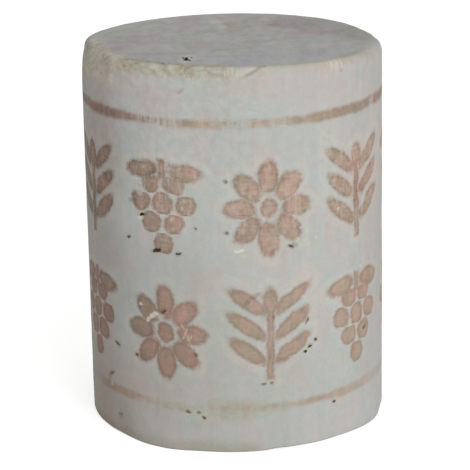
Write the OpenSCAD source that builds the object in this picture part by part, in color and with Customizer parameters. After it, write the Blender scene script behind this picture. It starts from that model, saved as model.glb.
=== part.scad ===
// Cork stopper: one straight piece of bark cork, punched out as a cylinder and sawn to length.
// It has no joint, core or second layer. Age has rounded its edges, knocked off one corner of
// the rim, crumbled the rim beside it, and opened pores in the side.
//
// The origin is the centre of the base. +Z runs up the axis of the cork, and -Y is its front.
// A direction is in degrees round the axis, from the front towards the right (+X).
// A height is in millimetres above the base, or below the top end where it is negative.

/* [Cork] */
// Diameter of the cork
cork_d = 30; // [24:0.5:40]
// Length on the axis, from the base to the top end
cork_l = 38.2; // [34:0.1:60]

/* [Ends] */
// Radius worn on the edge of the base
base_round = 0.4; // [0.2:0.05:1]
// Radius worn on the rim of the top end
rim_round = 0.8; // [0.3:0.05:1.5]
// Slope of the top saw cut, which rises towards the front, in degrees
top_rise = 2.1; // [0.5:0.1:4]
// Slope of the top saw cut, which falls towards the right, in degrees
top_fall = 0.6; // [0.2:0.1:4]

/* [Knocked corner of the rim] */
// Direction of the knocked corner
corner_at = -76; // [-150:1:-60]
// How far it reaches in across the top end
corner_in = 1.5; // [0.9:0.1:3]
// How far it reaches down the side
corner_down = 2.1; // [1.2:0.1:5]

/* [Worn flat on the edge of the base] */
// Direction of the worn flat
flat_at = 28; // [0:1:150]
// How far it reaches in across the base
flat_in = 0.7; // [0.5:0.05:1.5]
// How far it reaches up the side
flat_up = 0.5; // [0.3:0.05:2]

/* [Crumbled stretch of the rim] */
// Direction where the crumbled stretch starts
crumb_from = -46; // [-60:1:-20]
// Direction where it ends
crumb_to = -4; // [-15:1:30]
// Number of crumbs that have broken away
crumb_count = 9; // [3:1:14]
// Width of the widest crumb
crumb_w = 2.2; // [1:0.1:3]
// Depth of the crumbs behind the rounded rim
crumb_depth = 0.3; // [0.15:0.05:0.6]

/* [Pores] */
// Greatest depth of a pore in the side
pore_depth = 0.6; // [0.2:0.05:1.5]
// Number of pores scattered over the back
back_pores = 14; // [4:1:24]
// Length of the longest pore at the back
back_pore_l = 1.1; // [0.6:0.1:2]
// Direction of the pore in the top end
end_pore_at = -22; // [-80:1:80]
// Distance of that pore from the rim
end_pore_from_rim = 3.2; // [2:0.1:6]
// Width of that pore
end_pore_w = 1.1; // [0.5:0.1:2]

/* [Hidden] */
$fn = 96;
cork_r = cork_d / 2;
steps = 5;              // straight steps in a worn round
rim_kink = 20;          // slope in degrees at which the rim's round runs out onto the side
overrun = 2;            // how far a cutter stands clear of the surface that it cuts
round_pore = 1.4;       // a pore less than this many times as long as it is wide is a round pit
golden = (sqrt(5) - 1) / 2;

// Pores seen from the front: [direction, height, length, width, degrees that its right end rises]
FRONT_PORES = [
    [-57, 6.1, 1.5, 0.35, 30],
    [-52.5, 9.6, 0.7, 0.45, -10],
    [-52, 2.0, 0.7, 0.4, 10],
    [-43.5, -17.0, 0.7, 0.25, 15],
    [-41.5, 9.1, 0.5, 0.4, 0],
    [-36.6, -14.4, 0.8, 0.3, 20],
    [-30.5, -17.8, 1.2, 0.4, 18],
    [-28.5, 14.2, 0.9, 0.3, 42],
    [-21.5, -17.9, 0.7, 0.25, 10],
    [-19.2, 4.1, 0.7, 0.35, 0],
    [-15.8, 10.1, 0.3, 0.25, 0],
    [-15.0, 4.1, 0.4, 0.3, 0],
    [-13.0, 3.6, 0.4, 0.35, 0],
    [-3.1, -10.5, 0.35, 0.3, 0],
    [-3.0, -15.6, 0.4, 0.35, 0],
    [2.6, -13.9, 1.3, 0.15, -3],
    [9.7, 7.1, 0.6, 0.2, 0],
    [12.8, 7.1, 0.3, 0.25, 0],
    [20.8, -17.3, 0.6, 0.35, -30],
    [26.3, 9.9, 0.45, 0.35, 0],
    [27.2, 13.0, 0.9, 0.2, 62],
    [28.4, 10.4, 0.7, 0.3, 25],
    [31.0, 10.9, 0.5, 0.4, 0],
    [39.3, 3.9, 0.5, 0.45, 0],
    [58.0, 10.4, 0.8, 0.45, 0],
];

// Height above the base of a height that may be given from the top end
function above_base(height) = height < 0 ? cork_l + height : height;

// Height of the top saw cut over the point x, y
function top_z(x, y) = cork_l - x * tan(top_fall) - y * tan(top_rise) / cos(top_fall);

// Radius of the circle whose cap is this wide and this deep
function cap_r(width, depth) = (width * width / 4 + depth * depth) / (2 * depth);

// Points of a worn round, from one angle to another about its centre
function worn_round(centre, r, from, to) =
    [for (i = [0:steps]) let (a = from + (to - from) * i / steps) centre + r * [cos(a), sin(a)]];

// Puts its children on the side, with -Y pointing out of the cork
module on_side(direction, height) {
    rotate(direction) translate([0, -cork_r, above_base(height)]) children();
}

// Puts its children on the sharp corner that the rim would have, with -Y pointing out
module on_rim(direction) {
    rotate(direction)
        translate([0, -cork_r, top_z(cork_r * sin(direction), -cork_r * cos(direction))]) children();
}

// The punched cylinder, longer than the cork, with the edge of its base worn round
module punched_cylinder() {
    rotate_extrude() polygon(concat(
        [[0, 0]],
        worn_round([cork_r - base_round, base_round], base_round, -90, 0),
        [[cork_r, cork_l + cork_r], [0, cork_l + cork_r]]));
}

// All that lies under the top saw cut, with the rim worn round where it meets the side
module under_saw_cut() {
    rim_end = [cork_r, 0] + rim_round * [cos(rim_kink) - 1, sin(rim_kink) - 1];
    skirt = cork_l + 2 * cork_r;
    translate([0, 0, cork_l]) rotate([-top_rise, top_fall, 0]) rotate_extrude() polygon(concat(
        [[0, 0]],
        worn_round([cork_r - rim_round, -rim_round], rim_round, 90, rim_kink),
        [rim_end + cork_r * [tan(rim_kink), -1], [2 * cork_r, -skirt], [0, -skirt]]));
}

// A block whose face runs from `reach` in from the edge to `along` the side, to shave an edge.
// It stands on the edge, with -Y pointing out of the cork, and takes what lies above its face.
module shave(reach, along) {
    size = 2 * (reach + along) + overrun;
    translate([0, reach, 0]) rotate([atan2(along, reach), 0, 0])
        translate([-cork_r, -size, 0]) cube([2 * cork_r, 2 * size, size]);
}

// The corner of the rim that was knocked off
module knocked_corner() {
    on_rim(corner_at) shave(corner_in, corner_down);
}

// The flat worn on the edge of the base
module base_flat() {
    on_side(flat_at, 0) mirror([0, 0, 1]) shave(flat_in, flat_up);
}

// Crumbs that have broken off the rim, in a ragged row
module crumbs() {
    for (i = [0:crumb_count - 1]) {
        direction = crumb_from + (crumb_to - crumb_from) * i / (crumb_count - 1);
        size = 0.6 + 0.4 * abs(sin(i * 360 * golden));
        depth = crumb_depth * size + rim_round * (sqrt(2) - 1);
        crumb_r = cap_r(crumb_w * size, crumb_depth * size);
        on_rim(direction) rotate([-45, 0, 0]) translate([0, -(crumb_r - depth), 0]) sphere(crumb_r);
    }
}

// A pore in the side: a slit with a curved floor, or a round pit that narrows to a point
module pore(direction, height, length, width, rise) {
    depth = min(pore_depth, length / 2);
    slit_r = cap_r(length, depth);
    if (length > round_pore * width)
        on_side(direction, height) rotate([0, -rise, 0]) translate([0, depth - slit_r, 0])
            cylinder(h = width, r = slit_r, center = true);
    else
        on_side(direction, height) rotate([90, 0, 0]) pit(length, pore_depth);
}

// A pit that narrows to a point, its mouth at the origin and +Z pointing out of it
module pit(width, depth) {
    translate([0, 0, -depth])
        cylinder(h = 2 * depth, r1 = 0, r2 = width);
}

// Pores seen from the front
module front_pores() {
    for (p = FRONT_PORES) pore(p[0], p[1], p[2], p[3], p[4]);
}

// Pores over the back, spread by the golden ratio so that none lines up with the next
module scattered_back_pores() {
    for (i = [1:back_pores]) {
        turn = i * golden - floor(i * golden);
        length = back_pore_l * (1 + i % 3) / 3;
        pore(95 + 170 * turn, cork_l * i / (back_pores + 2), length, length * 0.45, 40 - 80 * turn);
    }
}

// The pore that opens in the top end
module end_pore() {
    reach = cork_r - end_pore_from_rim;
    x = reach * sin(end_pore_at);
    y = -reach * cos(end_pore_at);
    translate([x, y, top_z(x, y)]) pit(end_pore_w, pore_depth);
}

module stopper() {
    color([0.70, 0.69, 0.66]) difference() {
        intersection() {
            punched_cylinder();
            under_saw_cut();
        }
        knocked_corner();
        base_flat();
        crumbs();
        front_pores();
        scattered_back_pores();
        end_pore();
    }
}

stopper();
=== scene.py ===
"""The looks of the cork stopper: its worn form, its thin pale paint and its faded print."""

import math

import bpy
from mathutils import Matrix, Vector


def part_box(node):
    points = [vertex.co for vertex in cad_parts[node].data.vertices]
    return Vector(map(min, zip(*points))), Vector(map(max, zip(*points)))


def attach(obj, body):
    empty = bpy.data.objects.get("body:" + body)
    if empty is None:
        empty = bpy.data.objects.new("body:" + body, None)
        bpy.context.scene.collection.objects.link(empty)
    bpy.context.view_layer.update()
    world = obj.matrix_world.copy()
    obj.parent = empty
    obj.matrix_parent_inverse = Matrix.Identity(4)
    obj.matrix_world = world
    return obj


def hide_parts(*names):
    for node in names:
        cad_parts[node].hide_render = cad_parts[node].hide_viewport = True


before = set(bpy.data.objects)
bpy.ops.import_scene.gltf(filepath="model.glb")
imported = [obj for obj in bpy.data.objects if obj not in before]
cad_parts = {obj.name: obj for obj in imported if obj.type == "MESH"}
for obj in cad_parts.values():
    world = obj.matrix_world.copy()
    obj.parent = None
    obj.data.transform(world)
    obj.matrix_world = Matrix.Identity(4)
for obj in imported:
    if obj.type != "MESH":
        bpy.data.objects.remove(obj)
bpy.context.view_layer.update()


# ---- The cork itself ---------------------------------------------------------------------------
# One cylinder punched from cork bark and sawn to length, a little out of square at the top. It has
# no second piece: age has rounded its edges, flattened one stretch of the base, and knocked off
# the corner of the rim on its left.

# Lengths are in millimetres. Directions are in degrees round the cork, from the front to the right
METRE = 1000.0
low, high = (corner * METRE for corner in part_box("stopper"))
cork_d = high.x - low.x
cork_r = cork_d / 2
cork_l = 38.2            # on the axis; the front of the rim stands higher
top_rise = math.tan(math.radians(2.1))     # slope of the saw cut, up towards the front
top_fall = math.tan(math.radians(0.6))     # slope of the saw cut, down towards the right
wave_height = 0.12       # how far the cut waves out of its plane at the rim
wave_crest = 160
base_round = 0.2
rim_round = 0.45
right_rim_round = 0.7    # what the rim has lost on the right on top of that
columns = 330            # vertices round the cork


class Wire:
    """A value inside a node tree. Arithmetic on wires adds Math nodes to their tree."""

    def __init__(self, socket):
        self.socket = socket

    @staticmethod
    def tree_of(*values):
        """The node tree of the first wire among some values."""
        return next(value for value in values if isinstance(value, Wire)).socket.id_data

    @classmethod
    def node(cls, tree, kind, settings=None, inputs=None):
        """Adds any node, and gives its outputs as wires by name. The setting `stops` holds the stops
        of a colour ramp, each a place along it with an alpha."""
        made = tree.nodes.new(kind)
        for name, setting in (settings or {}).items():
            if name == "stops":
                stops = made.color_ramp.elements
                stops.remove(stops[1])
                stops[0].position = setting[0][0]
                for at, level in setting[1:]:
                    stops.new(at)
                for stop, (at, level) in zip(stops, setting):
                    stop.color = (1, 1, 1, level)
            else:
                setattr(made, name, setting)
        cls.feed(made, inputs or {})
        return {out.name: cls(out) for out in made.outputs if out.enabled}

    @staticmethod
    def feed(made, inputs):
        """Gives a node's sockets their values or links, by name or number."""
        for name, given in inputs.items():
            if isinstance(name, int):
                target = made.inputs[name]
            else:
                target = next(s for s in made.inputs if s.name == name and s.enabled)
            if isinstance(given, Wire):
                made.id_data.links.new(given.socket, target)
            else:
                target.default_value = given

    @classmethod
    def maths(cls, operation, *terms):
        inputs = dict(enumerate(terms))
        return cls.node(cls.tree_of(*terms), "ShaderNodeMath", {"operation": operation}, inputs)["Value"]

    def __add__(self, other):
        return Wire.maths("ADD", self, other)

    def __radd__(self, other):
        return Wire.maths("ADD", other, self)

    def __sub__(self, other):
        return Wire.maths("SUBTRACT", self, other)

    def __rsub__(self, other):
        return Wire.maths("SUBTRACT", other, self)

    def __mul__(self, other):
        return Wire.maths("MULTIPLY", self, other)

    def __rmul__(self, other):
        return Wire.maths("MULTIPLY", other, self)

    def __truediv__(self, other):
        return Wire.maths("DIVIDE", self, other)

    def __rtruediv__(self, other):
        return Wire.maths("DIVIDE", other, self)

    def __abs__(self):
        return Wire.maths("ABSOLUTE", self)

    def __gt__(self, other):
        return Wire.maths("GREATER_THAN", self, other)

    def lower(self, other):
        """The lower of two values."""
        return Wire.maths("MINIMUM", self, other)

    def higher(self, other):
        """The higher of two values."""
        return Wire.maths("MAXIMUM", self, other)

    def sine(self):
        return Wire.maths("SINE", self)

    def cosine(self):
        return Wire.maths("COSINE", self)

    def floor(self):
        return Wire.maths("FLOOR", self)

    def root(self):
        return Wire.maths("SQRT", self)

    def step(self, start, end):
        """Runs smoothly from 0 at start to 1 at end, and start may be above end."""
        rising = start < end
        values = {"Value": self, "From Min": min(start, end), "From Max": max(start, end),
                  "To Min": 0.0 if rising else 1.0, "To Max": 1.0 if rising else 0.0}
        settings = {"interpolation_type": "SMOOTHSTEP"}
        return Wire.node(self.socket.id_data, "ShaderNodeMapRange", settings, values)["Result"]

    def between(self, start, full, fading, end):
        """1 between full and fading, running smoothly down to 0 at start and at end."""
        return self.step(start, full) * self.step(end, fading)


def length_of(*parts):
    """Length of a vector given by its parts."""
    squares = parts[0] * parts[0]
    for part in parts[1:]:
        squares = Wire.maths("MULTIPLY_ADD", part, part, squares)
    return squares.root()


def vector(*parts):
    """A vector of three parts, of which one at least is a wire."""
    inputs = dict(zip("XYZ", parts))
    return Wire.node(Wire.tree_of(*parts), "ShaderNodeCombineXYZ", {}, inputs)["Vector"]


def noise(at, scale, detail=2.0, roughness=0.5):
    """Noise about 0.5 at a place, as Fac or three at once as Color, with `scale` lumps a millimetre."""
    values = {"Vector": at, "Scale": scale, "Detail": detail, "Roughness": roughness}
    return Wire.node(Wire.tree_of(at), "ShaderNodeTexNoise", {}, values)


def group_socket(tree, in_out, kind, name):
    """Declares a named input or output of a node group."""
    tree.interface.new_socket(name, in_out=in_out, socket_type=f"NodeSocket{kind}")


def along_profile(row, radius, length):
    """Distance along the sawn outline, from the middle of the base up the side to the middle of the
    top, with the rows of vertices close together where the edges are."""
    base_edge = 1.0          # how far the close rows reach to each side of an edge
    top_edge = 3.0
    stretches = [
        (radius - base_edge, 16),
        (2 * base_edge, 20),
        (length - (base_edge + top_edge), 122),
        (2 * top_edge, 50),
        (radius - top_edge, 30),
    ]
    distance, first = 0.0, 0
    for stretch, rows in stretches:
        distance = distance + (row - first).higher(0.0).lower(float(rows)) * (stretch / rows)
        first += rows
    return distance, first


def shaved(place, direction, reach, drop, edge_z, soften, unevenness):
    """Moves points back to a flat worn across an edge. The flat starts `reach` in from the side and
    ends `drop` along it; `soften` rounds it off at both, and `unevenness` roughens it."""
    slope = math.atan2(reach, drop)
    side = 1 if edge_z > 0 else -1
    turned = math.radians(direction)
    outward, upward = math.cos(slope), side * math.sin(slope)
    normal = (math.sin(turned) * outward, -math.cos(turned) * outward, upward)
    offset = (cork_r - reach) * outward + edge_z * upward
    proud = sum(part * along for part, along in zip(place, normal)) - offset + unevenness
    proud = (proud + length_of(proud, soften)) * 0.5
    return [part - proud * along for part, along in zip(place, normal)]


def changed(kind, geometry, inputs=None, settings=None):
    """Passes geometry through one more node of the worn cork's tree."""
    return Wire.node(worn_cork, kind, settings, {"Geometry": geometry, **(inputs or {})})["Geometry"]


worn_cork = bpy.data.node_groups.new("worn cork", "GeometryNodeTree")
group_socket(worn_cork, "OUTPUT", "Geometry", "Geometry")
group_socket(worn_cork, "INPUT", "Geometry", "Pores")
sizes = {"Diameter": cork_d, "Length": cork_l, "Top Rise": top_rise, "Top Fall": top_fall,
         "Base Round": base_round, "Rim Round": rim_round}
for label in sizes:
    group_socket(worn_cork, "INPUT", "Float", label)
sizes["Columns"] = columns
group_socket(worn_cork, "INPUT", "Int", "Columns")
given = Wire.node(worn_cork, "NodeGroupInput")

# A flat sheet, one row of it for each step along the outline and one column for each turn
radius = given["Diameter"] / 2.0
profile_rows = 238
sheet = Wire.node(worn_cork, "GeometryNodeMeshGrid", {}, {
    "Size X": 2 * math.pi, "Size Y": float(profile_rows),
    "Vertices X": given["Columns"] + 1, "Vertices Y": profile_rows + 1})["Mesh"]
on_sheet = Wire.node(worn_cork, "ShaderNodeSeparateXYZ", {}, {
    "Vector": Wire.node(worn_cork, "GeometryNodeInputPosition")["Position"]})
turn = on_sheet["X"]
facing = turn * math.degrees(1)
path, rows_used = along_profile(on_sheet["Y"] + profile_rows / 2, radius, given["Length"])
assert rows_used == profile_rows

# The sharp outline, then its edges rounded about an inner corner, the rim's unevenly
sharp_r = path.lower(2 * radius + given["Length"] - path).lower(radius)
sharp_z = (path - radius).higher(0.0).lower(given["Length"])
ragged = noise(vector(turn.sine(), turn.cosine(), 0.0), 4.5, 5.0, 0.65)["Fac"]
worn_on_right = facing.between(20, 74, 106, 142)
rim_r = (given["Rim Round"] + right_rim_round * worn_on_right) * (0.4 + 1.2 * ragged)
near_top = sharp_z > given["Length"] / 2
edge_r = near_top * rim_r + (1 - near_top) * given["Base Round"]
inner_r = sharp_r.lower(radius - edge_r)
inner_z = sharp_z.higher(given["Base Round"]).lower(given["Length"] - rim_r)
reach_r, reach_z = sharp_r - inner_r, sharp_z - inner_z
pull = edge_r / length_of(reach_r, reach_z)
turned_r, turned_z = inner_r + reach_r * pull, inner_z + reach_z * pull

# The top saw cut, out of square and slightly wavy
to_right, to_back = turned_r * turn.sine(), turned_r * turn.cosine() * -1
lift = (to_right * given["Top Fall"] + to_back * given["Top Rise"]) * -1
wave = (2 * (turn - math.radians(wave_crest))).cosine() * wave_height
wave = wave * turned_r * turned_r / (radius * radius)
share = turned_z / given["Length"]
turned_z = turned_z + share * (lift + wave * share)

# Wear: the knocked corner of the rim, the flat on the base, and a side swollen here and there
knocked_at, knocked_in, knocked_down = -76, 1.3, 2.1
flat_at, flat_in, flat_up = 20, 0.4, 0.25
side_swell = 0.006       # swelling as a share of the radius, over the side and at the foot
left_foot_swell = 0.028
right_foot_swell = 0.03
place = [to_right, to_back, turned_z]
lumps = noise(vector(*place), 0.35, 3.0)["Fac"] - 0.5
grit = noise(vector(*place), 1.6, 4.0, 0.65)["Fac"] - 0.5
place = shaved(place, knocked_at, knocked_in, knocked_down, edge_z=cork_l, soften=0.4,
               unevenness=lumps * 0.9 + grit * 0.5)
place = shaved(place, flat_at, flat_in, flat_up, edge_z=0.0, soften=0.1, unevenness=lumps * 0.3)
foot_swell = facing.between(-54, -34, -28, -12) * left_foot_swell
foot_swell = foot_swell + facing.between(40, 60, 62, 79) * right_foot_swell
swell = 1 + lumps * side_swell + foot_swell * turned_z.step(5.0, 0.5)
place = [place[0] * swell, place[1] * swell, place[2]]

# Crumbs lost from the rim on the left of the front: shallow ragged dents, pressed in at a slant
crumb_depth = 0.24
slant = 0.7
from_rim = (given["Length"] + lift - turned_z) + (turned_r - radius)
broken = facing.between(-52, -44, -8, 6) * from_rim.step(-2.0, -1.0) * from_rim.step(1.5, 0.5)
crumbs = noise(vector(*place), 1.3, 4.0, 0.7)["Fac"]
dent = broken * crumbs.step(0.42, 0.62) * crumb_depth
place = [place[0] - dent * turn.sine() * slant, place[1] + dent * turn.cosine() * slant,
         place[2] - dent * slant]

body = changed("GeometryNodeSetPosition", sheet, {"Position": vector(*place)})
body = changed("GeometryNodeMergeByDistance", body, {"Distance": 0.002})


# ---- Pores -------------------------------------------------------------------------------------
# The bark's own pores, cut open by the punch and the saw. Each is a ragged hollow taken out of the
# solid, with bare brown cork inside that the paint never reached.

# Direction and height of the middle, length, width, how far the right end rises, and how dark it
# looks from 0 to 1; a height below 0 is measured down from the top end
front_pores = [
    (-57, 6.1, 1.1, 0.36, 30, 0.3), (-52.5, 9.6, 0.9, 0.38, -20, 0.28), (-52, 2.0, 0.6, 0.30, 10, 0.2),
    (-43.5, -17.0, 0.6, 0.24, 15, 0.6), (-41.5, 9.1, 0.42, 0.34, 0, 0.45),
    (-36.6, -14.4, 0.8, 0.32, 20, 0.85), (-30.5, -17.8, 1.15, 0.38, 18, 0.85),
    (-28.5, 14.2, 0.9, 0.30, 42, 0.6), (-21.5, -17.9, 0.7, 0.24, 10, 0.85),
    (-19.2, 4.1, 0.62, 0.26, 0, 0.22), (-15.8, 10.1, 0.34, 0.26, 0, 0.5),
    (-15.0, 4.1, 0.36, 0.20, 0, 0.1), (-13.0, 3.6, 0.38, 0.28, 0, 0.24),
    (-3.1, -10.5, 0.28, 0.24, 0, 0.1), (-3.0, -15.6, 0.34, 0.30, 0, 0.3),
    (9.7, 7.1, 0.55, 0.17, 0, 0.4), (12.8, 7.1, 0.3, 0.2, 0, 0.35),
    (20.8, -17.3, 0.6, 0.28, -30, 0.65), (26.3, 9.9, 0.36, 0.30, 0, 0.8),
    (27.2, 13.0, 0.75, 0.13, 62, 0.45), (28.3, 10.35, 0.5, 0.24, 30, 0.8),
    (30.8, 10.9, 0.32, 0.26, 30, 0.6), (39.3, 3.9, 0.38, 0.34, 0, 0.55),
    (58.0, 10.4, 0.62, 0.34, 40, 0.4), (-14.6, 23.0, 0.26, 0.2, 0, 0.3),
    (13.9, 13.9, 0.22, 0.16, 0, 0.1),
]
# Hole in the top end, ragged from four cuts: how far right and back, width, length, turn, darkness
end_pores = [
    (-4.35, -10.6, 0.50, 1.9, 0, 1.0), (-4.02, -11.3, 0.30, 0.8, 10, 0.8),
    (-4.60, -10.0, 0.28, 0.8, 10, 0.8), (-3.85, -9.9, 0.22, 0.5, 0, 0.4),
]
pore_depth = 0.6         # of the deepest in the side
end_pore_depth = 0.7
back_pores = 22
back_start, back_spread = 80, 190          # where they start, and how far round they are spread
golden = (math.sqrt(5) - 1) / 2


def top_z(x, y):
    """Height of the top saw cut over a point."""
    return cork_l - x * top_fall - y * top_rise


def point_on_side(direction, height):
    """A point on the side; a height below 0 is measured down from the top end."""
    turned = math.radians(direction)
    z = height if height >= 0 else cork_l + height
    return Vector((cork_r * math.sin(turned), -cork_r * math.cos(turned), z))


# Smaller pores over the back, spread by the golden ratio so that none lines up with the next
scattered_pores = []
for number in range(1, back_pores + 1):
    spread = number * golden % 1
    direction = back_start + back_spread * spread
    height = cork_l * number / (back_pores + 2)
    along = 0.35 + 0.25 * (number % 4)     # four lengths, in turn
    across = 0.18 + 0.16 * along
    darkness = 0.3 + 0.5 * (3 * spread % 1)
    scattered_pores.append((direction if direction < 180 else direction - 360, height,
                            along, across, 40 - 80 * spread, darkness))

# Each hollow: its middle; its size along, into and across the cork; its turn; how dark it looks.
# A darker pore is a deeper one, and a lump is drawn under size because its jags reach further out
under_size = 0.9
jag_size = 0.36
hollows = []
for direction, height, along, across, rise, darkness in front_pores + scattered_pores:
    depth = min(pore_depth, across * (0.2 + 1.3 * darkness * darkness))
    size = (under_size * along, 2 * depth, under_size * across)
    hollows.append((point_on_side(direction, height), size,
                    (0, -math.radians(rise), math.radians(direction)), darkness))
for x, y, width, length, turned, darkness in end_pores:
    size = (width, length, 2 * end_pore_depth)
    hollows.append((Vector((x, y, top_z(x, y))), size, (0, 0, math.radians(turned)), darkness))

pore_points = bpy.data.meshes.new("worn_cork_stopper")
middles, hollow_sizes, hollow_turns, how_dark = zip(*hollows)
pore_points.from_pydata(middles, [], [])
for label, values in (("size", hollow_sizes), ("turn", hollow_turns)):
    layer = pore_points.attributes.new(label, "FLOAT_VECTOR", "POINT")
    layer.data.foreach_set("vector", [part for value in values for part in value])
layer = pore_points.attributes.new("darkness", "FLOAT", "POINT")
layer.data.foreach_set("value", how_dark)


def vector_maths(operation, first, second):
    """Vector Math on a wire, with a second vector or a number to scale it by."""
    by = "Scale" if operation == "SCALE" else 1
    outputs = Wire.node(Wire.tree_of(first), "ShaderNodeVectorMath", {"operation": operation}, {
        0: first, by: second})
    return outputs["Value" if operation == "DOT_PRODUCT" else "Vector"]


def attribute(kind, name):
    """Reads a named attribute of the mesh that passes."""
    settings = {"data_type": kind}
    return Wire.node(worn_cork, "GeometryNodeInputNamedAttribute", settings, {"Name": name})["Attribute"]


# A lump 1 across, so that the scale it gets is its size
lump = Wire.node(worn_cork, "GeometryNodeMeshIcoSphere", {}, {"Radius": 0.5, "Subdivisions": 3})["Mesh"]
lump_turn = Wire.node(worn_cork, "FunctionNodeEulerToRotation", {}, {
    "Euler": attribute("FLOAT_VECTOR", "turn")})["Rotation"]
cutters = Wire.node(worn_cork, "GeometryNodeInstanceOnPoints", {}, {
    "Points": given["Pores"], "Instance": lump, "Scale": attribute("FLOAT_VECTOR", "size"),
    "Rotation": lump_turn})["Instances"]
cutters = changed("GeometryNodeRealizeInstances", cutters)
here = Wire.node(worn_cork, "GeometryNodeInputPosition")["Position"]
jag = vector_maths("SUBTRACT", noise(here, 3.0, 3.0, 0.6)["Color"], (0.5, 0.5, 0.5))
jag = vector_maths("SCALE", jag, jag_size)
cutters = changed("GeometryNodeSetPosition", cutters, {"Offset": jag})

# Materials and each hollow's darkness go on before the cut, which keeps them
painted_cork = bpy.data.materials.new("painted cork")
bare_cork = bpy.data.materials.new("bare cork")
body = changed("GeometryNodeSetMaterial", body, {"Material": painted_cork})
cutters = changed("GeometryNodeSetMaterial", cutters, {"Material": bare_cork})
darkness_kept = {"Name": "hollow", "Value": attribute("FLOAT", "darkness")}
cutters = changed("GeometryNodeStoreNamedAttribute", cutters, darkness_kept,
                  {"data_type": "FLOAT", "domain": "FACE"})
cut_settings = {"operation": "DIFFERENCE", "solver": "MANIFOLD"}
bored = Wire.node(worn_cork, "GeometryNodeMeshBoolean", cut_settings, {
    "Mesh 1": body, "Mesh 2": cutters})["Mesh"]
bored = changed("GeometryNodeSetShadeSmooth", bored, {"Shade Smooth": True}, {"domain": "FACE"})
bored = changed("GeometryNodeTransform", bored, {"Scale": (1 / METRE,) * 3})
bored = changed("GeometryNodeRealizeInstances", bored)
bored = changed("GeometryNodeSetMaterial", bored, {
    "Selection": attribute("FLOAT", "hollow") > 0.0, "Material": bare_cork})
Wire.node(worn_cork, "NodeGroupOutput", {}, {"Geometry": bored})

maker = bpy.data.objects.new("cork_maker", pore_points)
bpy.context.collection.objects.link(maker)
modifier = maker.modifiers.new("worn cork", "NODES")
modifier.node_group = worn_cork
for item in worn_cork.interface.items_tree:
    if item.in_out == "INPUT" and item.name in sizes:
        modifier[item.identifier] = sizes[item.name]
evaluated = maker.evaluated_get(bpy.context.evaluated_depsgraph_get())
stopper_mesh = bpy.data.meshes.new_from_object(evaluated)
bpy.data.objects.remove(maker)
stopper = bpy.data.objects.new("worn_stopper", stopper_mesh)
bpy.context.collection.objects.link(stopper)
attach(stopper, "root")
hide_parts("stopper")
print("stopper:", len(stopper_mesh.polygons), "faces")


# ---- Thin paint --------------------------------------------------------------------------------
# The whole cork has one thin coat of pale grey paint, brushed lengthwise on the side and across the
# ends. It has greyed, picked up brown dirt low on the left, and gone cream where the rim crumbles.
# Painted shade darkens it towards the left and low on the front, and a painted highlight runs along
# the rim on the right.


def mixed(first, second, amount, how="MIX"):
    """Mixes two colours, either of which may be a plain (r, g, b)."""
    ends = {name: colour if isinstance(colour, Wire) else (*colour, 1)
            for name, colour in (("A", first), ("B", second))}
    return Wire.node(Wire.tree_of(first, second, amount), "ShaderNodeMix",
                     {"data_type": "RGBA", "blend_type": how}, {"Factor": amount, **ends})["Result"]


def tinted(colour, ratio, amount):
    """Multiplies a colour by a ratio for each of red, green and blue, as far as amount goes."""
    return mixed(colour, ratio, amount, "MULTIPLY")


def stretched(at, across, back, up):
    """A place scaled along each axis: noise read there is drawn out where the scale is low."""
    return vector_maths("MULTIPLY", at, (across, back, up))


def marks(at, shapes, soft=0.6):
    """The strongest of several soft ellipses on a plane, worked out in a node group of their own: each
    has its middle, its half length and half width, and how far its right end rises in degrees. `soft`
    is how far they fade to both sides of the outline, as a share of their size."""
    group = bpy.data.node_groups.new("marks", "ShaderNodeTree")
    group_socket(group, "INPUT", "Vector", "At")
    group_socket(group, "OUTPUT", "Float", "Strength")
    place = Wire.node(group, "NodeGroupInput")["At"]
    strongest = 0.0
    for along, up, half_length, half_width, rise in shapes:
        cosine, sine = math.cos(math.radians(rise)), math.sin(math.radians(rise))
        axes = (cosine / half_length, sine / half_length, 0), (-sine / half_width, cosine / half_width, 0)
        offset = vector_maths("SUBTRACT", place, (along, up, 0))
        away = length_of(*(vector_maths("DOT_PRODUCT", offset, axis) for axis in axes))
        strongest = away.step(1 + soft, 1 - soft).higher(strongest)
    Wire.node(group, "NodeGroupOutput", {}, {"Strength": strongest})
    return Wire.node(Wire.tree_of(at), "ShaderNodeGroup", {"node_tree": group}, {"At": at})["Strength"]


def on_wall(shapes):
    """Shapes given by direction in degrees, as shapes on the unrolled side in millimetres."""
    return [(direction * mm_a_degree, *rest) for direction, *rest in shapes]


def shaken(along, up, lumps_per_mm, by):
    """Moves a place on a plane about by noise, so that what is drawn there has ragged edges."""
    lumps = noise(vector(along, up, 0.0), lumps_per_mm, 3.0)["Color"]
    shake = Wire.node(Wire.tree_of(along), "ShaderNodeSeparateColor", {}, {"Color": lumps})
    return vector(along + (shake["Red"] - 0.5) * by, up + (shake["Green"] - 0.5) * by, 0.0)


def in_millimetres(tree):
    """The place on the cork, and its parts."""
    metres = Wire.node(tree, "ShaderNodeTexCoord")["Object"]
    at = vector_maths("SCALE", metres, METRE)
    parts = Wire.node(tree, "ShaderNodeSeparateXYZ", {}, {"Vector": at})
    return at, parts["X"], parts["Y"], parts["Z"]


painted_cork.use_nodes = True
paint = painted_cork.node_tree
at, right_mm, back_mm, height = in_millimetres(paint)
reach = length_of(right_mm, back_mm)
degrees = Wire.maths("ARCTAN2", right_mm, back_mm * -1) * math.degrees(1)
mm_a_degree = cork_r * math.radians(1)
below_top = cork_l - right_mm * top_fall - back_mm * top_rise - height
past_rim = below_top + reach - cork_r          # how far down the side; below 0 on the top end
on_top = past_rim.step(-0.9, -1.9)
on_side = past_rim.step(-0.9, -0.2) * (reach - cork_r).step(-1.4, -0.6)
wall = vector(degrees * mm_a_degree, height, 0.0)
rough_wall = shaken(degrees * mm_a_degree, height, 2.4, 0.34)
rough_top = shaken(right_mm, back_mm, 0.8, 1.4)

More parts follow.
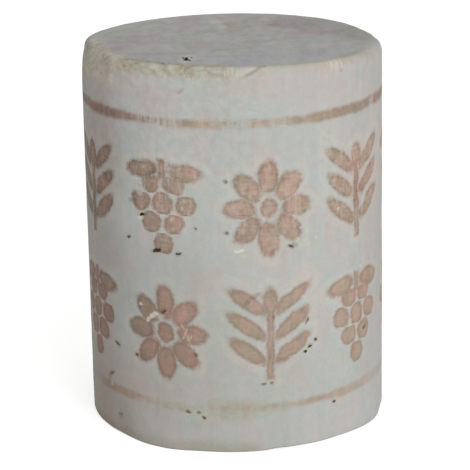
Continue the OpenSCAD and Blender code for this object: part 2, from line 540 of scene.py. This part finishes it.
# Brushed paint: faint lengthwise streaks, slow changes of tone, and a fine tooth
streaks = noise(stretched(at, 1, 1, 0.06), 1.1, 4.0, 0.6)["Fac"]
tone = noise(at, 0.16, 3.0)["Fac"]
tooth = noise(at, 4.0, 4.0, 0.75)["Fac"]
speckle = noise(at, 2.6, 3.0, 0.8)["Fac"]
flecks = noise(at, 1.2, 4.0, 0.6)["Fac"]
upper_left = height.step(24, 30) * degrees.step(20, 0)
tones = 1 + (streaks - 0.5) * 0.14 * on_side + (tone - 0.5) * 0.12
tones = tones + (tooth - 0.5) * (0.15 - 0.10 * on_top)
tones = tones + (flecks - 0.5) * (0.13 + 0.05 * on_side + 0.20 * upper_left * on_side)
base_paint = (0.497, 0.501, 0.476)
darkest, palest = 0.7, 1.3
colour = mixed([part * darkest for part in base_paint], [part * palest for part in base_paint],
               (tones - darkest) / (palest - darkest))
patches = noise(stretched(at, 1, 1, 0.7), 0.30, 3.0)["Fac"]
colour = tinted(colour, (1.035, 0.968, 0.965), patches.step(0.50, 0.62))
colour = tinted(colour, (0.965, 1.0, 0.975), patches.step(0.46, 0.34))
hues = noise(at, 0.75, 3.0, 0.6)["Fac"]
off_top = 1 - on_top * 0.7
colour = tinted(colour, (1.03, 0.985, 0.985), hues.step(0.52, 0.64) * off_top)
colour = tinted(colour, (0.97, 1.0, 1.015), hues.step(0.48, 0.36) * off_top)

# Patches of the side by their tint: each has its middle, by millimetres round from the front and
# up, its half length and half width, and how far its right end rises
rosy_paint = [
    (8.8, 36.6, 8.5, 1.7, 0), (17.5, 22.0, 3.6, 15.0, 0), (13.6, 27.5, 2.4, 6.5, 0),
    (-15.6, 31.0, 2.6, 5.0, 0), (-17.0, 10.0, 2.4, 9.0, 0), (-9.5, 5.0, 4.0, 3.0, 0),
    (-9.1, 4.35, 0.8, 0.36, 0),
]
greenish_paint = [
    (-3.4, 36.0, 2.6, 1.8, 0), (-10.5, 32.0, 2.0, 2.0, 0), (4.5, 31.0, 3.0, 1.6, 0),
    (10.8, 5.8, 2.4, 1.2, 0), (-4.0, 18.5, 3.0, 2.0, 0),
]
warm_band = [(-11.2, 37.0, 2.6, 1.0, 0), (1.6, 37.2, 3.2, 0.9, 0), (11.0, 37.8, 3.4, 0.8, 4)]
for ratio, shapes in (((1.015, 0.96, 0.965), rosy_paint), ((0.985, 1.0, 0.985), greenish_paint),
                      ((1.03, 0.978, 0.965), warm_band)):
    colour = tinted(colour, ratio, marks(wall, shapes) * on_side)

# Cleaner paint high on the left of the front, and brown dirt that thickens downwards and to the left,
# at the foot and on the base. Painted shade darkens the paint further towards the left edge and low
# on the front
cleaner = degrees.between(-58, -44, -24, -4) * height.step(19, 24) * on_side
colour = tinted(colour, (1.09, 1.085, 1.085), cleaner)
dirt = degrees.between(-150, -100, -62, -28) * height.step(14, 1) * (0.5 + 0.7 * tone) * on_side
colour = tinted(colour, (0.83, 0.775, 0.71), dirt)
colour = tinted(colour, (0.965, 1.025, 1.0), degrees.between(-150, -110, -76, -64) * on_side)
# Painted shade: the paint darkens in two steps towards the left edge of the front, where the light falls
# off; the first step is warmed brown like the dirt
shaded = degrees.step(-150, -110) * on_side
leftwards = degrees + (tone - 0.5) * 30 + (patches - 0.5) * 24
colour = tinted(colour, (0.93, 0.88, 0.875), leftwards.step(-40, -62) * shaded)
colour = tinted(colour, (0.90, 0.90, 0.88), leftwards.step(-66, -84) * shaded)
foot = (height + (tone - 0.5) * 1.6 + (tooth - 0.5) * 0.6).step(1.5, 0.3) * on_side
colour = tinted(colour, (0.88, 0.835, 0.775), foot * degrees.between(-160, -110, 3, 12))
# Painted shade: the front of the side darker towards the bottom
lower_front_shade = height.step(22, 6) * degrees.between(-60, -30, 16, 34) * on_side
colour = tinted(colour, (0.93, 0.93, 0.915), lower_front_shade)
base = height.step(0.3, 0.05)
colour = tinted(colour, (0.90, 0.875, 0.84), base * 0.8)

# The knocked corner and the crumbled rim: brownish pits between cream and olive crumbs
crumbs = noise(at, 1.3, 4.0, 0.6)["Fac"]
knocked = degrees.between(-104, -90, -54, -44) * past_rim.between(-2.8, -1.8, 1.8, 3.4)
colour = tinted(colour, (1.23, 1.18, 1.085), knocked)
colour = tinted(colour, (0.84, 0.80, 0.75), knocked * (crumbs * 0.7 + flecks * 0.3).step(0.47, 0.56))
edge_wander = past_rim + (crumbs - 0.5) * 2.4 + (tooth - 0.5) * 1.2
crumbled = degrees.between(-52, -46, -3, 4) * past_rim.step(-1.9, -1.1) * edge_wander.step(1.5, 0.7)
colour = tinted(colour, (0.97, 0.95, 0.865), crumbled)
colour = tinted(colour, (0.96, 0.92, 0.84), crumbled * hues.step(0.50, 0.60))
colour = tinted(colour, (0.86, 0.83, 0.75), crumbled * crumbs.step(0.51, 0.60))
colour = tinted(colour, (1.10, 1.08, 1.03), crumbled * (flecks * 0.5 + tooth * 0.5).step(0.50, 0.58))

# Below the rim: a pale and a tan stretch on the left, and cleaner paint towards both sides
pale_stretch = marks(rough_wall, on_wall([(-33.5, 37.4, 1.7, 0.7, 0)]))
colour = tinted(colour, (1.08, 1.055, 1.045), pale_stretch * on_side)
tan_stretch = marks(rough_wall, on_wall([(-20.5, 38.35, 1.3, 0.5, 0)]))
colour = tinted(colour, (0.945, 0.925, 0.885), tan_stretch * on_side)
cleaner_sides = marks(wall, [(-16.2, 34.8, 1.6, 2.0, 0), (17.2, 31.0, 1.6, 2.2, 0)])
colour = tinted(colour, (1.055, 1.045, 1.04), cleaner_sides)

# The right half of the rim: a cream lip, and along its edge a painted highlight where the rim catches the
# lamp
lip = degrees.between(6, 12, 46, 70) * past_rim.step(-1.0, -0.5) * edge_wander.step(1.0, 0.2)
colour = tinted(colour, (0.965, 0.935, 0.86), lip)
# Painted highlight: a pale cream line along the rim's edge
rim_highlight = degrees.between(8, 14, 36, 50) * edge_wander.between(-0.9, -0.5, -0.3, 0.1)
colour = tinted(colour, (1.07, 1.06, 0.99), rim_highlight)

# The top end: faint arcs left by the brush, and greyed blots
arc_right, arc_back = -5.0, 28.0         # the middle that the arcs go round
arcs = length_of(right_mm - arc_right, back_mm - arc_back)
along_arcs = Wire.maths("ARCTAN2", right_mm - arc_right, arc_back - back_mm)
swept = noise(vector(arcs, along_arcs * 4.0, 0.0), 0.65, 2.5, 0.6)["Fac"]
blots = noise(stretched(at, 1, 0.45, 1), 0.9, 3.0, 0.6)["Fac"]
brushed_top = on_top * (1 - knocked)
colour = tinted(colour, (1.03, 1.03, 1.03), brushed_top * swept.step(0.50, 0.64))
colour = tinted(colour, (0.965, 0.958, 0.965), brushed_top * swept.step(0.49, 0.36))
colour = tinted(colour, (0.93, 0.93, 0.92), on_top * blots.step(0.50, 0.60))
colour = tinted(colour, (1.06, 1.055, 1.07), on_top * blots.step(0.48, 0.38))
colour = tinted(colour, (0.98, 0.985, 1.025), on_top * patches.step(0.48, 0.58))
colour = tinted(colour, (1.0, 0.985, 0.96), on_top * patches.step(0.50, 0.40))
colour = tinted(colour, (0.985, 0.98, 0.985), on_top)

# Patches of the top end, each by its tint and its ellipses in millimetres right and back
top_patches = [
    # cream, with a paler end
    ((1.17, 1.13, 1.10), [(-1.5, 9.0, 3.7, 0.6, -79), (3.7, 11.0, 2.6, 0.6, 80)]),
    ((1.04, 1.05, 1.06), [(-2.4, 11.0, 1.0, 2.2, 0)]),
    # brown beside the cream, one greyer
    ((0.925, 0.875, 0.80), [
        (0.1, 7.4, 3.0, 0.65, -84), (4.45, 7.5, 1.3, 0.6, 85), (0.4, 4.9, 1.0, 1.1, 0),
    ]),
    ((0.94, 0.93, 0.94), [(4.5, 7.5, 0.5, 1.0, 0)]),
    # greenish
    ((0.96, 0.97, 0.955), [(1.4, 7.8, 0.9, 2.6, 0), (-2.1, 4.5, 1.1, 1.3, 0), (9.6, -5.8, 2.6, 1.2, 20)]),
    # ruddy at the back on the right
    ((0.97, 0.925, 0.93), [(6.9, 4.9, 3.4, 1.9, -62)]),
    ((0.91, 0.87, 0.86), [(8.2, 4.3, 2.5, 1.1, -54)]),
    # warm, then greyer, on the left
    ((0.95, 0.905, 0.90), [(-8.5, -7.5, 4.5, 1.2, 4), (-11.5, -4.5, 2.2, 2.0, 0)]),
    ((0.975, 0.955, 0.96), [(-9.0, -1.2, 3.4, 3.4, 0)]),
    ((0.925, 0.93, 0.93), [(-12.0, -2.2, 2.4, 4.4, 0)]),
    # cool at the front
    ((0.99, 0.99, 1.05), [(3.0, -10.5, 7.5, 2.0, 4), (9.5, -6.5, 3.5, 1.4, 40)]),
]
for ratio, shapes in top_patches:
    colour = tinted(colour, ratio, on_top * marks(rough_top, shapes))
dark_edge = marks(rough_top, [(7.4, 9.4, 4.6, 3.2, -20), (12.6, 4.0, 2.8, 5.5, 16)])
colour = tinted(colour, (0.82, 0.80, 0.79), past_rim.step(0.6, -0.6) * dark_edge)

# An olive line along the rim on the right, ruddy outside it, and pale grit round the top's hole
right_rim = degrees.between(42, 50, 66, 74)
rim_top = past_rim.between(-1.8, -1.2, -0.70, -0.30)
colour = tinted(colour, (0.89, 0.90, 0.84), right_rim * rim_top)
rim_side = past_rim.step(-0.8, -0.3) * edge_wander.step(1.6, 0.6)
colour = tinted(colour, (1.02, 0.95, 0.90), right_rim * degrees.step(54, 59) * rim_side)
hole_right, hole_back = end_pores[0][:2]
round_hole = marks(rough_top, [(hole_right + 0.1, hole_back, 0.75, 2.2, 0)], 0.5)
gritty = (tooth + speckle * 0.6).step(0.74, 0.88)
colour = tinted(colour, (1.36, 1.36, 1.30), on_top * round_hole * gritty)


# ---- Faded print -------------------------------------------------------------------------------
# Red-brown ink under the last of the paint: a ring near each end, and two rows of plain botanical
# ornaments between them - a sprig, a bunch of grapes and a rosette, nine places to a row.

motifs = 3                                # sprig, bunch and rosette, in turn
places_round = 9
place_width = 360 / places_round          # degrees
first_place = 12.5                        # direction of the middle of one place
row_heights = (12.1, 24.95)               # middles of the two rows
row_shift = 2                             # how many places the upper row is ahead
ring_heights = (4.65, 33.3)


def remainder(value, by):
    """What is left of a value after whole steps of `by`, never below 0."""
    return value - (value / by).floor() * by


upper_row = height > sum(row_heights) / 2
up = height - (row_heights[0] + upper_row * (row_heights[1] - row_heights[0]))
places = (degrees - first_place) / place_width + places_round + 0.5
place_number = places.floor()
across = (places - place_number - 0.5) * place_width * mm_a_degree
wander = noise(wall, 0.5, 2.0)["Fac"] - 0.5
across = across + wander * 0.8
up = up - wander * 0.8
motif = remainder(place_number + upper_row * row_shift, motifs)

# Each ornament is drawn as how far inside its outline a place is, in millimetres
aside = abs(across)
ornament_half = 4.65                      # half the height of an ornament
stalk_half = 0.42                         # half the width of a stalk


def stalk(bottom, top):
    """An upright stalk between two heights, measured from the middle of the ornament."""
    return (stalk_half - aside).lower(up - bottom).lower(top - up)


def oval(along, half_length, upwards, half_width):
    """1 in the middle of an oval and 0 on its outline, from distances to its middle."""
    return 1 - length_of(along / half_length, upwards / half_width)


# Sprig: a stalk with leaflets that rise in pairs, and one at the tip
leaf_pairs, leaf_pitch, leaf_slope, lowest_leaf = 3, 2.55, 0.62, -4.25
climb = up - aside * leaf_slope - lowest_leaf
leaflet_rise = remainder(climb, leaf_pitch) - leaf_pitch / 2
leaflet = 0.95 * oval(aside - 2.25, 1.95, leaflet_rise, 0.96)
leaflet = leaflet.lower(climb).lower(leaf_pairs * leaf_pitch - climb)
tip_leaf = 0.8 * oval(across, 0.85, up - 3.5, 1.35)
sprig = leaflet.higher(stalk(-ornament_half, 3.2)).higher(tip_leaf)

# Bunch of grapes: round grapes in staggered rows, a stalk and two leaves
grape_pitch, grape_rows, grape_r = 2.42, 2.02, 1.13
top_grapes, bunch_top, bunch_half = 0.25, 2.95, 3.0
row = ((top_grapes - up) / grape_rows + 0.5).floor()
stagger = remainder(row, 2) * grape_pitch / 2
column = ((across - stagger) / grape_pitch + 0.5).floor() * grape_pitch + stagger
grape = grape_r - length_of(across - column, up - (top_grapes - row * grape_rows))
grape = grape.lower(bunch_half - abs(row) * grape_pitch / 2 - abs(column)).lower(bunch_top - up)
vine_leaf = 0.95 * oval(aside - 2.3, 1.9, up - 3.75 + aside * 0.1, 0.95)
bunch = grape.higher(vine_leaf).higher(stalk(2.6, ornament_half))

# Rosette: eight petals round a disc, a little taller than wide
petals, petal_middle, disc_r = 8, 2.9, 0.95
petal_angle = math.radians(360 / petals)
from_middle = length_of(across * 1.02, up * 0.93)
petal_turn = Wire.maths("ARCTAN2", up, across) / petal_angle + 0.5
off_petal = (remainder(petal_turn, 1) - 0.5) * petal_angle * from_middle
petal = oval(from_middle - petal_middle, 1.62, off_petal, 1.06)
rosette = petal.higher(disc_r - from_middle)

# Ragged edges with a darker outline, then ink that lies thicker on the left, and is speckled,
# streaked and rubbed thin in places
bleed = noise(wall, 2.4, 4.0, 0.7)["Fac"] - 0.5
sprig = sprig * (1 - motif).higher(0.0)
bunch = bunch * (1 - abs(motif - 1))
rosette = rosette * (motif - 1).higher(0.0)
ornament = sprig + bunch + rosette + bleed * 0.55
printed = ornament.step(-0.20, 0.20)
outline = ornament.step(0.50, 0.16)
rubbed = noise(stretched(at, 1, 1, 0.5), 0.9, 4.0, 0.7)["Fac"]
fibres = noise(stretched(at, 1, 1, 0.35), 2.0, 4.0, 0.75)["Fac"]
scuffs = noise(stretched(wall, 0.6, 3.0, 1), 1.2, 3.0, 0.65)["Fac"]
thinner = (rubbed - 0.5) * 0.7 + (scuffs - 0.5) * 0.6 + (speckle - 0.5) * 0.5
thinner = thinner + (fibres - 0.5) * (0.5 + 0.6 * upper_row)
thinner = thinner * (0.75 + 0.45 * upper_row)
density = thinner.step(0.42, 0.12) * 0.6 + 0.4

# The rings fade and break up by turns round the cork: each has a direction and a strength there
upper_ring = [
    (-180, 0.8), (-140, 0.6), (-110, 0.85), (-80, 1.0), (-47, 1.0), (-44, 0.76), (-40, 0.58), (-35, 0.58),
    (-31, 0.40), (-25, 0.46), (-20, 0.56), (-17, 0.76), (-8, 0.70), (-4, 0.55), (5, 0.44), (8, 0.88),
    (10.5, 0.78), (14, 0.64), (17.5, 0.56), (22, 0.86), (30, 0.96), (40, 0.92), (55, 1.1), (60.5, 1.15),
    (62.5, 0.55), (65, 0.58), (68.5, 0.9), (90, 1.0), (120, 0.5), (150, 0.9), (180, 0.8),
]
lower_ring = [
    (-180, 0.4), (-150, 0.7), (-120, 0.5), (-90, 0.25), (-69, 0.30), (-64, 0.62), (-55, 0.84), (-46, 0.90),
    (-42, 0.52), (-39, 0.30), (-35, 0.36), (-31, 0.14), (-20, 0.10), (-4, 0.24), (5, 0.22), (12, 0.32),
    (20, 0.28), (24, 0.54), (29, 0.74), (35, 0.76), (40, 0.68), (57, 0.60), (63, 0.40), (90, 0.4),
    (125, 0.8), (155, 0.6), (180, 0.4),
]
round_share = degrees / 360 + 0.5
breaks = noise(stretched(at, 1, 1, 0.2), 1.7, 4.0, 0.7)["Fac"]
brushed_thin = degrees.between(-50, -42, 16, 24)
broken_by = (breaks - 0.5) * (0.12 + 0.88 * brushed_thin) + (tone - 0.5) * 0.5
upper_width = 0.37 + degrees.step(26, 34) * 0.15 + degrees.step(-38, -46) * 0.12
lower_width = 0.29 + degrees.step(33, 43) * 0.15 + degrees.step(-38, -46) * 0.10


def faded_ring(ring_height, width, strengths):
    """A printed ring, as how much of its ink is left."""
    stops = [(direction / 360 + 0.5, level) for direction, level in strengths]
    strength = Wire.node(paint, "ShaderNodeValToRGB", {"stops": stops}, {"Fac": round_share})["Alpha"]
    ring = (width - abs(height + wander * 0.5 - ring_height) + bleed * 0.25).step(-0.30, 0.24)
    return ring * (strength + broken_by - thinner * 0.35).step(0.10, 0.84)


upper_mask = faded_ring(ring_heights[1], upper_width, upper_ring)
lower_mask = faded_ring(ring_heights[0], lower_width, lower_ring)
rings = upper_mask.higher(lower_mask)
ink = (printed * density).higher(rings * 0.95) * on_side

# How dark the ink is, as a share of the paint under it, then its hue for red, green and blue
heavy = degrees.between(-150, -100, -50, -6) * (0.24 + 0.10 * upper_mask - 0.26 * lower_mask)
heavy = heavy + upper_mask * degrees.between(14, 50, 110, 170) * 0.26 + lower_mask * 0.02
shade = 0.94 - heavy - outline * printed * 0.15 + thinner * (0.7 - 0.3 * rings)
ink_ratio = mixed((0.885, 0.69, 0.55), (0.955, 0.69, 0.59), (hues * 0.5 + rubbed * 0.5).step(0.42, 0.58))
ink_ratio = mixed(ink_ratio, (0.92, 0.745, 0.60), rings * 0.6)
ink_ratio = mixed((0, 0, 0), ink_ratio, shade)
ink_ratio = tinted(ink_ratio, (1.0, 0.90, 0.95), upper_mask * degrees.between(-150, -110, -40, -16))
ink_ratio = tinted(ink_ratio, (1.03, 0.94, 0.95), (1 - upper_row) * degrees.between(-42, -30, -12, 0))
rosy_ink = on_wall([(-44.5, 33.3, 1.3, 0.6, 0), (11.5, 33.35, 1.4, 0.5, 0), (69, 33.5, 1.0, 0.6, 0)])
ink_ratio = tinted(ink_ratio, (1.06, 0.98, 1.02), marks(wall, rosy_ink, 0.4))
tan_ink = on_wall([(-12, 33.3, 1.6, 0.8, 0), (-24, 33.3, 2.0, 0.7, 0), (0, 33.3, 1.9, 0.7, 0)])
ink_ratio = tinted(ink_ratio, (0.995, 1.01, 0.92), marks(wall, tan_ink, 0.4))
ink_ratio = tinted(ink_ratio, (0.98, 1.022, 1.005), (1 - rings) * degrees.step(33, 44))
ink_ratio = tinted(ink_ratio, (1.01, 1.035, 1.0), (1 - rings) * degrees.step(-50, -60))
halo = ornament.step(-0.75, -0.40) * ornament.step(-0.10, -0.30) * on_side
colour = tinted(colour, (1.055, 1.05, 1.01), halo)
colour = tinted(colour, ink_ratio, ink)

# Grime on the upper ring, and an olive smear along the front of the lower one
grime = on_wall([(-17.0, 33.3, 0.6, 0.32, -12), (-19.6, 33.4, 0.35, 0.2, 0)])
colour = tinted(colour, (0.86, 0.885, 0.915), marks(rough_wall, grime, 0.5))
olive_smear = [(-0.6, 4.5, 3.2, 1.1, 0), (-6.6, 4.5, 2.6, 0.42, 0), (3.4, 4.5, 2.4, 0.45, 0)]
olive = marks(rough_wall, olive_smear, 0.5)
colour = tinted(colour, (0.945, 0.94, 0.875), olive)
colour = tinted(colour, (0.94, 0.93, 0.88), olive * crumbs.step(0.44, 0.58))


# ---- Chips, scratches and stains ---------------------------------------------------------------
# Small marks on the painted side, each at its own place: brown stains round the pores, chips that
# show cream ground, a tool's nick below the rim, and the bruise beside it.


def side_marks(shapes, soft=0.5):
    """Ragged marks on the side. Each has the direction and height of its middle, its half length
    and half width in millimetres, and how far its right end rises in degrees."""
    return marks(rough_wall, on_wall(shapes), soft)


stains = [(direction, pore_height % cork_l, 0.5 * along + 0.07, 0.5 * across + 0.08, rise)
          for direction, pore_height, along, across, rise, darkness in front_pores + scattered_pores]
colour = tinted(colour, (0.71, 0.63, 0.52), side_marks(stains, 0.6) * on_side * 0.8)

chips = [
    (-33.3, 13.55, 0.50, 0.26, 35), (-35.2, 13.1, 0.32, 0.20, 60), (-38.5, 14.6, 0.20, 0.16, 0),
    (-37, 23.6, 0.5, 0.28, 50), (1.5, 20.8, 0.5, 0.13, 8), (67.7, 38.2, 0.3, 0.2, 0),
    (-31.7, 13.85, 0.36, 0.18, 20),
]
colour = mixed(colour, (0.76, 0.72, 0.61), side_marks(chips) * on_side * (0.45 + tooth * 0.7))

scrapes = [
    (-20.4, 12.9, 0.10, 0.34, 24), (-19.2, 12.4, 0.09, 0.36, -20), (-18.4, 11.7, 0.10, 0.40, 16),
    (-17.3, 11.9, 0.08, 0.30, -28), (-17.0, 10.9, 0.09, 0.34, 10), (-20.2, 11.8, 0.07, 0.26, -30),
]
colour = mixed(colour, (0.58, 0.47, 0.39), side_marks(scrapes, 0.6) * 0.75)

flaked = [
    (23.8, 21.6, 0.26, 0.2, 0), (26.6, 21.3, 0.3, 0.14, 20), (27.4, 22.2, 0.14, 0.3, 0),
    (25.2, 22.6, 0.2, 0.1, 0), (-37.5, 26.0, 0.42, 0.34, 0), (3, 20.3, 0.35, 0.22, 0),
    (28, 20.9, 0.32, 0.24, 40), (31.5, 21.4, 0.14, 0.26, 0), (-43.5, 14.6, 0.16, 0.14, 0),
    (-19.5, 24.9, 0.16, 0.2, 0), (18.5, 32.9, 0.3, 0.12, 0), (42, 23.7, 0.18, 0.22, 0),
    (7, 9.1, 0.7, 0.06, 0), (-37, 26.9, 0.3, 0.1, 0), (2, 23.9, 0.5, 0.07, -3),
    (-57.6, 5.1, 0.26, 0.40, 30), (-29.6, 13.7, 0.45, 0.3, 10),
]
colour = mixed(colour, (0.62, 0.58, 0.49), side_marks(flaked) * on_side * 0.55)

smudges = [
    (22.2, 21.0, 0.42, 0.26, -20), (-42, 25.0, 0.3, 0.22, 0), (7, 16.2, 0.65, 0.24, 28),
    (4.0, 15.6, 0.4, 0.22, 35), (2.6, 24.35, 0.62, 0.07, -3), (44, 37.4, 0.16, 0.16, 0),
    (-58.5, 5.4, 0.3, 0.5, 30), (50, 11.5, 0.2, 0.16, 0), (-14.5, 23.0, 0.2, 0.14, 0),
    (12.0, 38.75, 0.3, 0.14, 10),
]
colour = tinted(colour, (0.68, 0.65, 0.62), side_marks(smudges) * on_side * 0.8)
faint_smudges = [(-18.9, 36.5, 0.5, 0.22, 38), (-52, 1.7, 0.5, 0.4, 0), (7.4, 33.75, 0.5, 0.14, 0)]
colour = tinted(colour, (0.90, 0.90, 0.90), side_marks(faint_smudges))
smudge_core = [(-19.2, 36.35, 0.32, 0.10, 38)]
colour = tinted(colour, (0.84, 0.83, 0.82), side_marks(smudge_core, 0.6))

faint_cream = [(-17.0, 3.9, 1.5, 0.6, -6), (-52, 1.6, 0.5, 0.3, 0), (-30, 4.85, 3.6, 0.5, 1)]
flecked = (flecks + tooth).step(0.9, 1.05)
colour = tinted(colour, (1.05, 1.035, 0.985), side_marks(faint_cream, 0.6) * flecked)
scuffed = [(6.9, 34.3, 0.5, 0.22, 0), (5.4, 34.7, 0.18, 0.3, 20), (7.8, 35.4, 0.22, 0.2, 0)]
colour = mixed(colour, (0.60, 0.64, 0.65), side_marks(scuffed) * speckle.step(0.42, 0.56) * 0.45)

# The nick below the rim: a pale cream edge with painted shadow under it, where the edge stands raised over
# the cut, and fine scratches to the right of it
nick_shadow = side_marks([(7.6, 38.32, 1.0, 0.16, 28)], 0.7) * on_side
nick_edge = side_marks([(6.0, 38.52, 1.15, 0.26, 27)]) * on_side
colour = mixed(colour, (0.57, 0.55, 0.45), nick_edge * 0.7)
# Painted shadow: a dark line under the nick's raised edge
colour = tinted(colour, (0.66, 0.62, 0.52), nick_shadow * 0.8)
scratches = []
for number in range(8):
    spread = number * golden % 1
    scratches.append((37.6 + number + 0.7 * spread, 38.35 - 0.5 * spread,
                      0.05 + 0.03 * (number % 3), 0.30 + 0.5 * spread, 6 - 5 * (number % 3)))
colour = mixed(colour, (0.64, 0.62, 0.53), marks(wall, on_wall(scratches)) * on_side * 0.75)

# Upright strokes across the upper ring and the rim, pale where the brush has dragged the paint
pale_strokes = [
    (-36.9, 33.6, 0.05, 0.5, 0), (-35.5, 33.55, 0.05, 0.45, 0), (-34.2, 33.6, 0.06, 0.42, 0),
    (-41.7, 34.1, 0.05, 0.4, 0), (-40.2, 34.0, 0.05, 0.45, 0), (-2.7, 38.25, 0.06, 0.4, 0),
    (-1.3, 38.4, 0.05, 0.35, 0), (0.1, 38.5, 0.06, 0.4, 0), (1.9, 38.2, 0.05, 0.4, 0),
]
colour = mixed(colour, (0.62, 0.59, 0.52), marks(wall, on_wall(pale_strokes)) * on_side * 0.6)
dark_strokes = [
    (-32.3, 33.4, 0.09, 0.3, 0), (-29.4, 33.3, 0.10, 0.34, 0),
    (-27.2, 33.25, 0.08, 0.3, 0), (-24.5, 33.3, 0.08, 0.3, 0),
]
colour = tinted(colour, (0.84, 0.77, 0.70), side_marks(dark_strokes, 0.6))


def bumped(relief, strength, depth):
    """The normal of a surface with fine relief on it; its depth is in metres."""
    values = {"Strength": strength, "Distance": depth, "Height": relief}
    return Wire.node(Wire.tree_of(relief), "ShaderNodeBump", {}, values)["Normal"]


# The finish itself: matt, a little smoother where the ink fills the paint
relief = streaks * 0.35 * on_side + tooth * 0.55 + crumbs * (knocked * 0.9 + crumbled * 1.3)
relief = relief + swept * on_top * 0.2
Wire.feed(paint.nodes["Principled BSDF"], {
    "Base Color": colour, "Roughness": 0.78 + (tooth - 0.5) * 0.2 - ink * 0.06,
    "Specular IOR Level": 0.25, "Normal": bumped(relief, strength=0.6, depth=0.00008)})


# ---- Bare cork in the pores --------------------------------------------------------------------
# Old cork inside a pore: brown, with the grain of broken cells, and painted shade that darkens the deep
# ones.

bare_cork.use_nodes = True
bare = bare_cork.node_tree
inside = in_millimetres(bare)[0]
grain = noise(inside, 4.0, 4.0, 0.7)["Fac"]
painted_pore_shade = Wire.node(bare, "ShaderNodeAttribute", {"attribute_name": "hollow"})["Fac"]
# Painted shade: the cork's colour runs darker in the darker, deeper pores
open_cork, shaded_deep_cork = (0.42, 0.35, 0.27), (0.11, 0.083, 0.058)
cork_colour = mixed(open_cork, shaded_deep_cork, painted_pore_shade)
cork_colour = tinted(cork_colour, (0.6, 0.55, 0.5), grain.step(0.5, 0.62))
Wire.feed(bare.nodes["Principled BSDF"], {
    "Base Color": cork_colour, "Roughness": 0.95, "Specular IOR Level": 0.15,
    "Normal": bumped(grain, strength=0.7, depth=0.0001)})


# ---- Floor, light and camera -------------------------------------------------------------------
# A pale bench under even studio light, with one broad lamp to the right of the front. The floor
# keeps the cork's shadow, and both floor and backdrop show as white. Lengths here are in metres.

floor_width = 6.0
bpy.ops.mesh.primitive_plane_add(size=floor_width)
floor = bpy.context.object
floor.name = "floor"

# Camera: where it stands, as a distance and a height angle from the point that it looks past
view_distance = 0.23595
view_height = 17.34      # degrees above the horizon
view_roll = -1.11        # degrees; the cork leans by this much
view_aim = Vector((0.0, 0.0, 0.01775))
view_lens, view_sensor = 176.7, 36.0       # millimetres

tilt, roll = math.radians(view_height), math.radians(view_roll)
toward = Vector((0, math.cos(tilt), -math.sin(tilt)))
level_right = Vector((1, 0, 0))
level_up = level_right.cross(toward)
right = level_right * math.cos(roll) + level_up * math.sin(roll)
upright = level_up * math.cos(roll) - level_right * math.sin(roll)
camera = bpy.data.objects.new("camera", bpy.data.cameras.new("camera"))
camera.data.lens = view_lens
camera.data.sensor_width = view_sensor
camera.data.clip_start = 0.01
pose = Matrix((right, upright, -toward)).transposed().to_4x4()
pose.translation = view_aim - toward * view_distance
camera.matrix_world = pose
bpy.context.collection.objects.link(camera)
bpy.context.scene.camera = camera

lamp_direction = 28.0    # degrees round from the front to the right
lamp_height = 15.0       # degrees above the horizon
lamp_distance = 0.6
lamp_width = 0.4
lamp_aim = Vector((0, 0, 0.02))
lamp_level = 0.52        # share of full light that it gives a surface that faces it
lamp = bpy.data.objects.new("key lamp", bpy.data.lights.new("key lamp", "AREA"))
lamp.data.shape = "DISK"
lamp.data.size = lamp_width
lamp.data.energy = lamp_level * math.pi * math.pi * lamp_distance**2
side, rise = math.radians(lamp_direction), math.radians(lamp_height)
lamp.location = Vector((math.sin(side) * math.cos(rise), -math.cos(side) * math.cos(rise), math.sin(rise)))
lamp.location = lamp.location * lamp_distance + lamp_aim
lamp.rotation_euler = (lamp_aim - lamp.location).to_track_quat("-Z", "Y").to_euler()
bpy.context.collection.objects.link(lamp)


def seen(tree):
    """1 for the camera's own rays and for what is mirrored, and 0 for light on the cork."""
    rays = Wire.node(tree, "ShaderNodeLightPath")
    return rays["Is Camera Ray"].higher(rays["Is Glossy Ray"]).higher(rays["Is Transmission Ray"])


room_level = 0.5         # light from all round
white = (1, 1, 1, 1)
world = bpy.data.worlds.new("room")
world.use_nodes = True
world.node_tree.nodes.clear()
room = Wire.node(world.node_tree, "ShaderNodeBackground", {}, {
    "Color": white, "Strength": room_level + (1 - room_level) * seen(world.node_tree)})["Background"]
Wire.node(world.node_tree, "ShaderNodeOutputWorld", {}, {"Surface": room})
bpy.context.scene.world = world

floor_shade = 0.8
floor_glow = 0.62        # what it shows on top of the light that falls on it, to come out white
floor_paint = bpy.data.materials.new("pale floor")
floor_paint.use_nodes = True
floor_tree = floor_paint.node_tree
floor_tree.nodes.clear()
matt = Wire.node(floor_tree, "ShaderNodeBsdfDiffuse", {}, {"Color": (floor_shade,) * 3 + (1,)})["BSDF"]
glow = Wire.node(floor_tree, "ShaderNodeEmission", {}, {
    "Color": white, "Strength": floor_glow * seen(floor_tree)})["Emission"]
both = Wire.node(floor_tree, "ShaderNodeAddShader", {}, {0: matt, 1: glow})["Shader"]
Wire.node(floor_tree, "ShaderNodeOutputMaterial", {}, {"Surface": both})
floor.data.materials.append(floor_paint)

bpy.context.scene.view_settings.view_transform = "Standard"
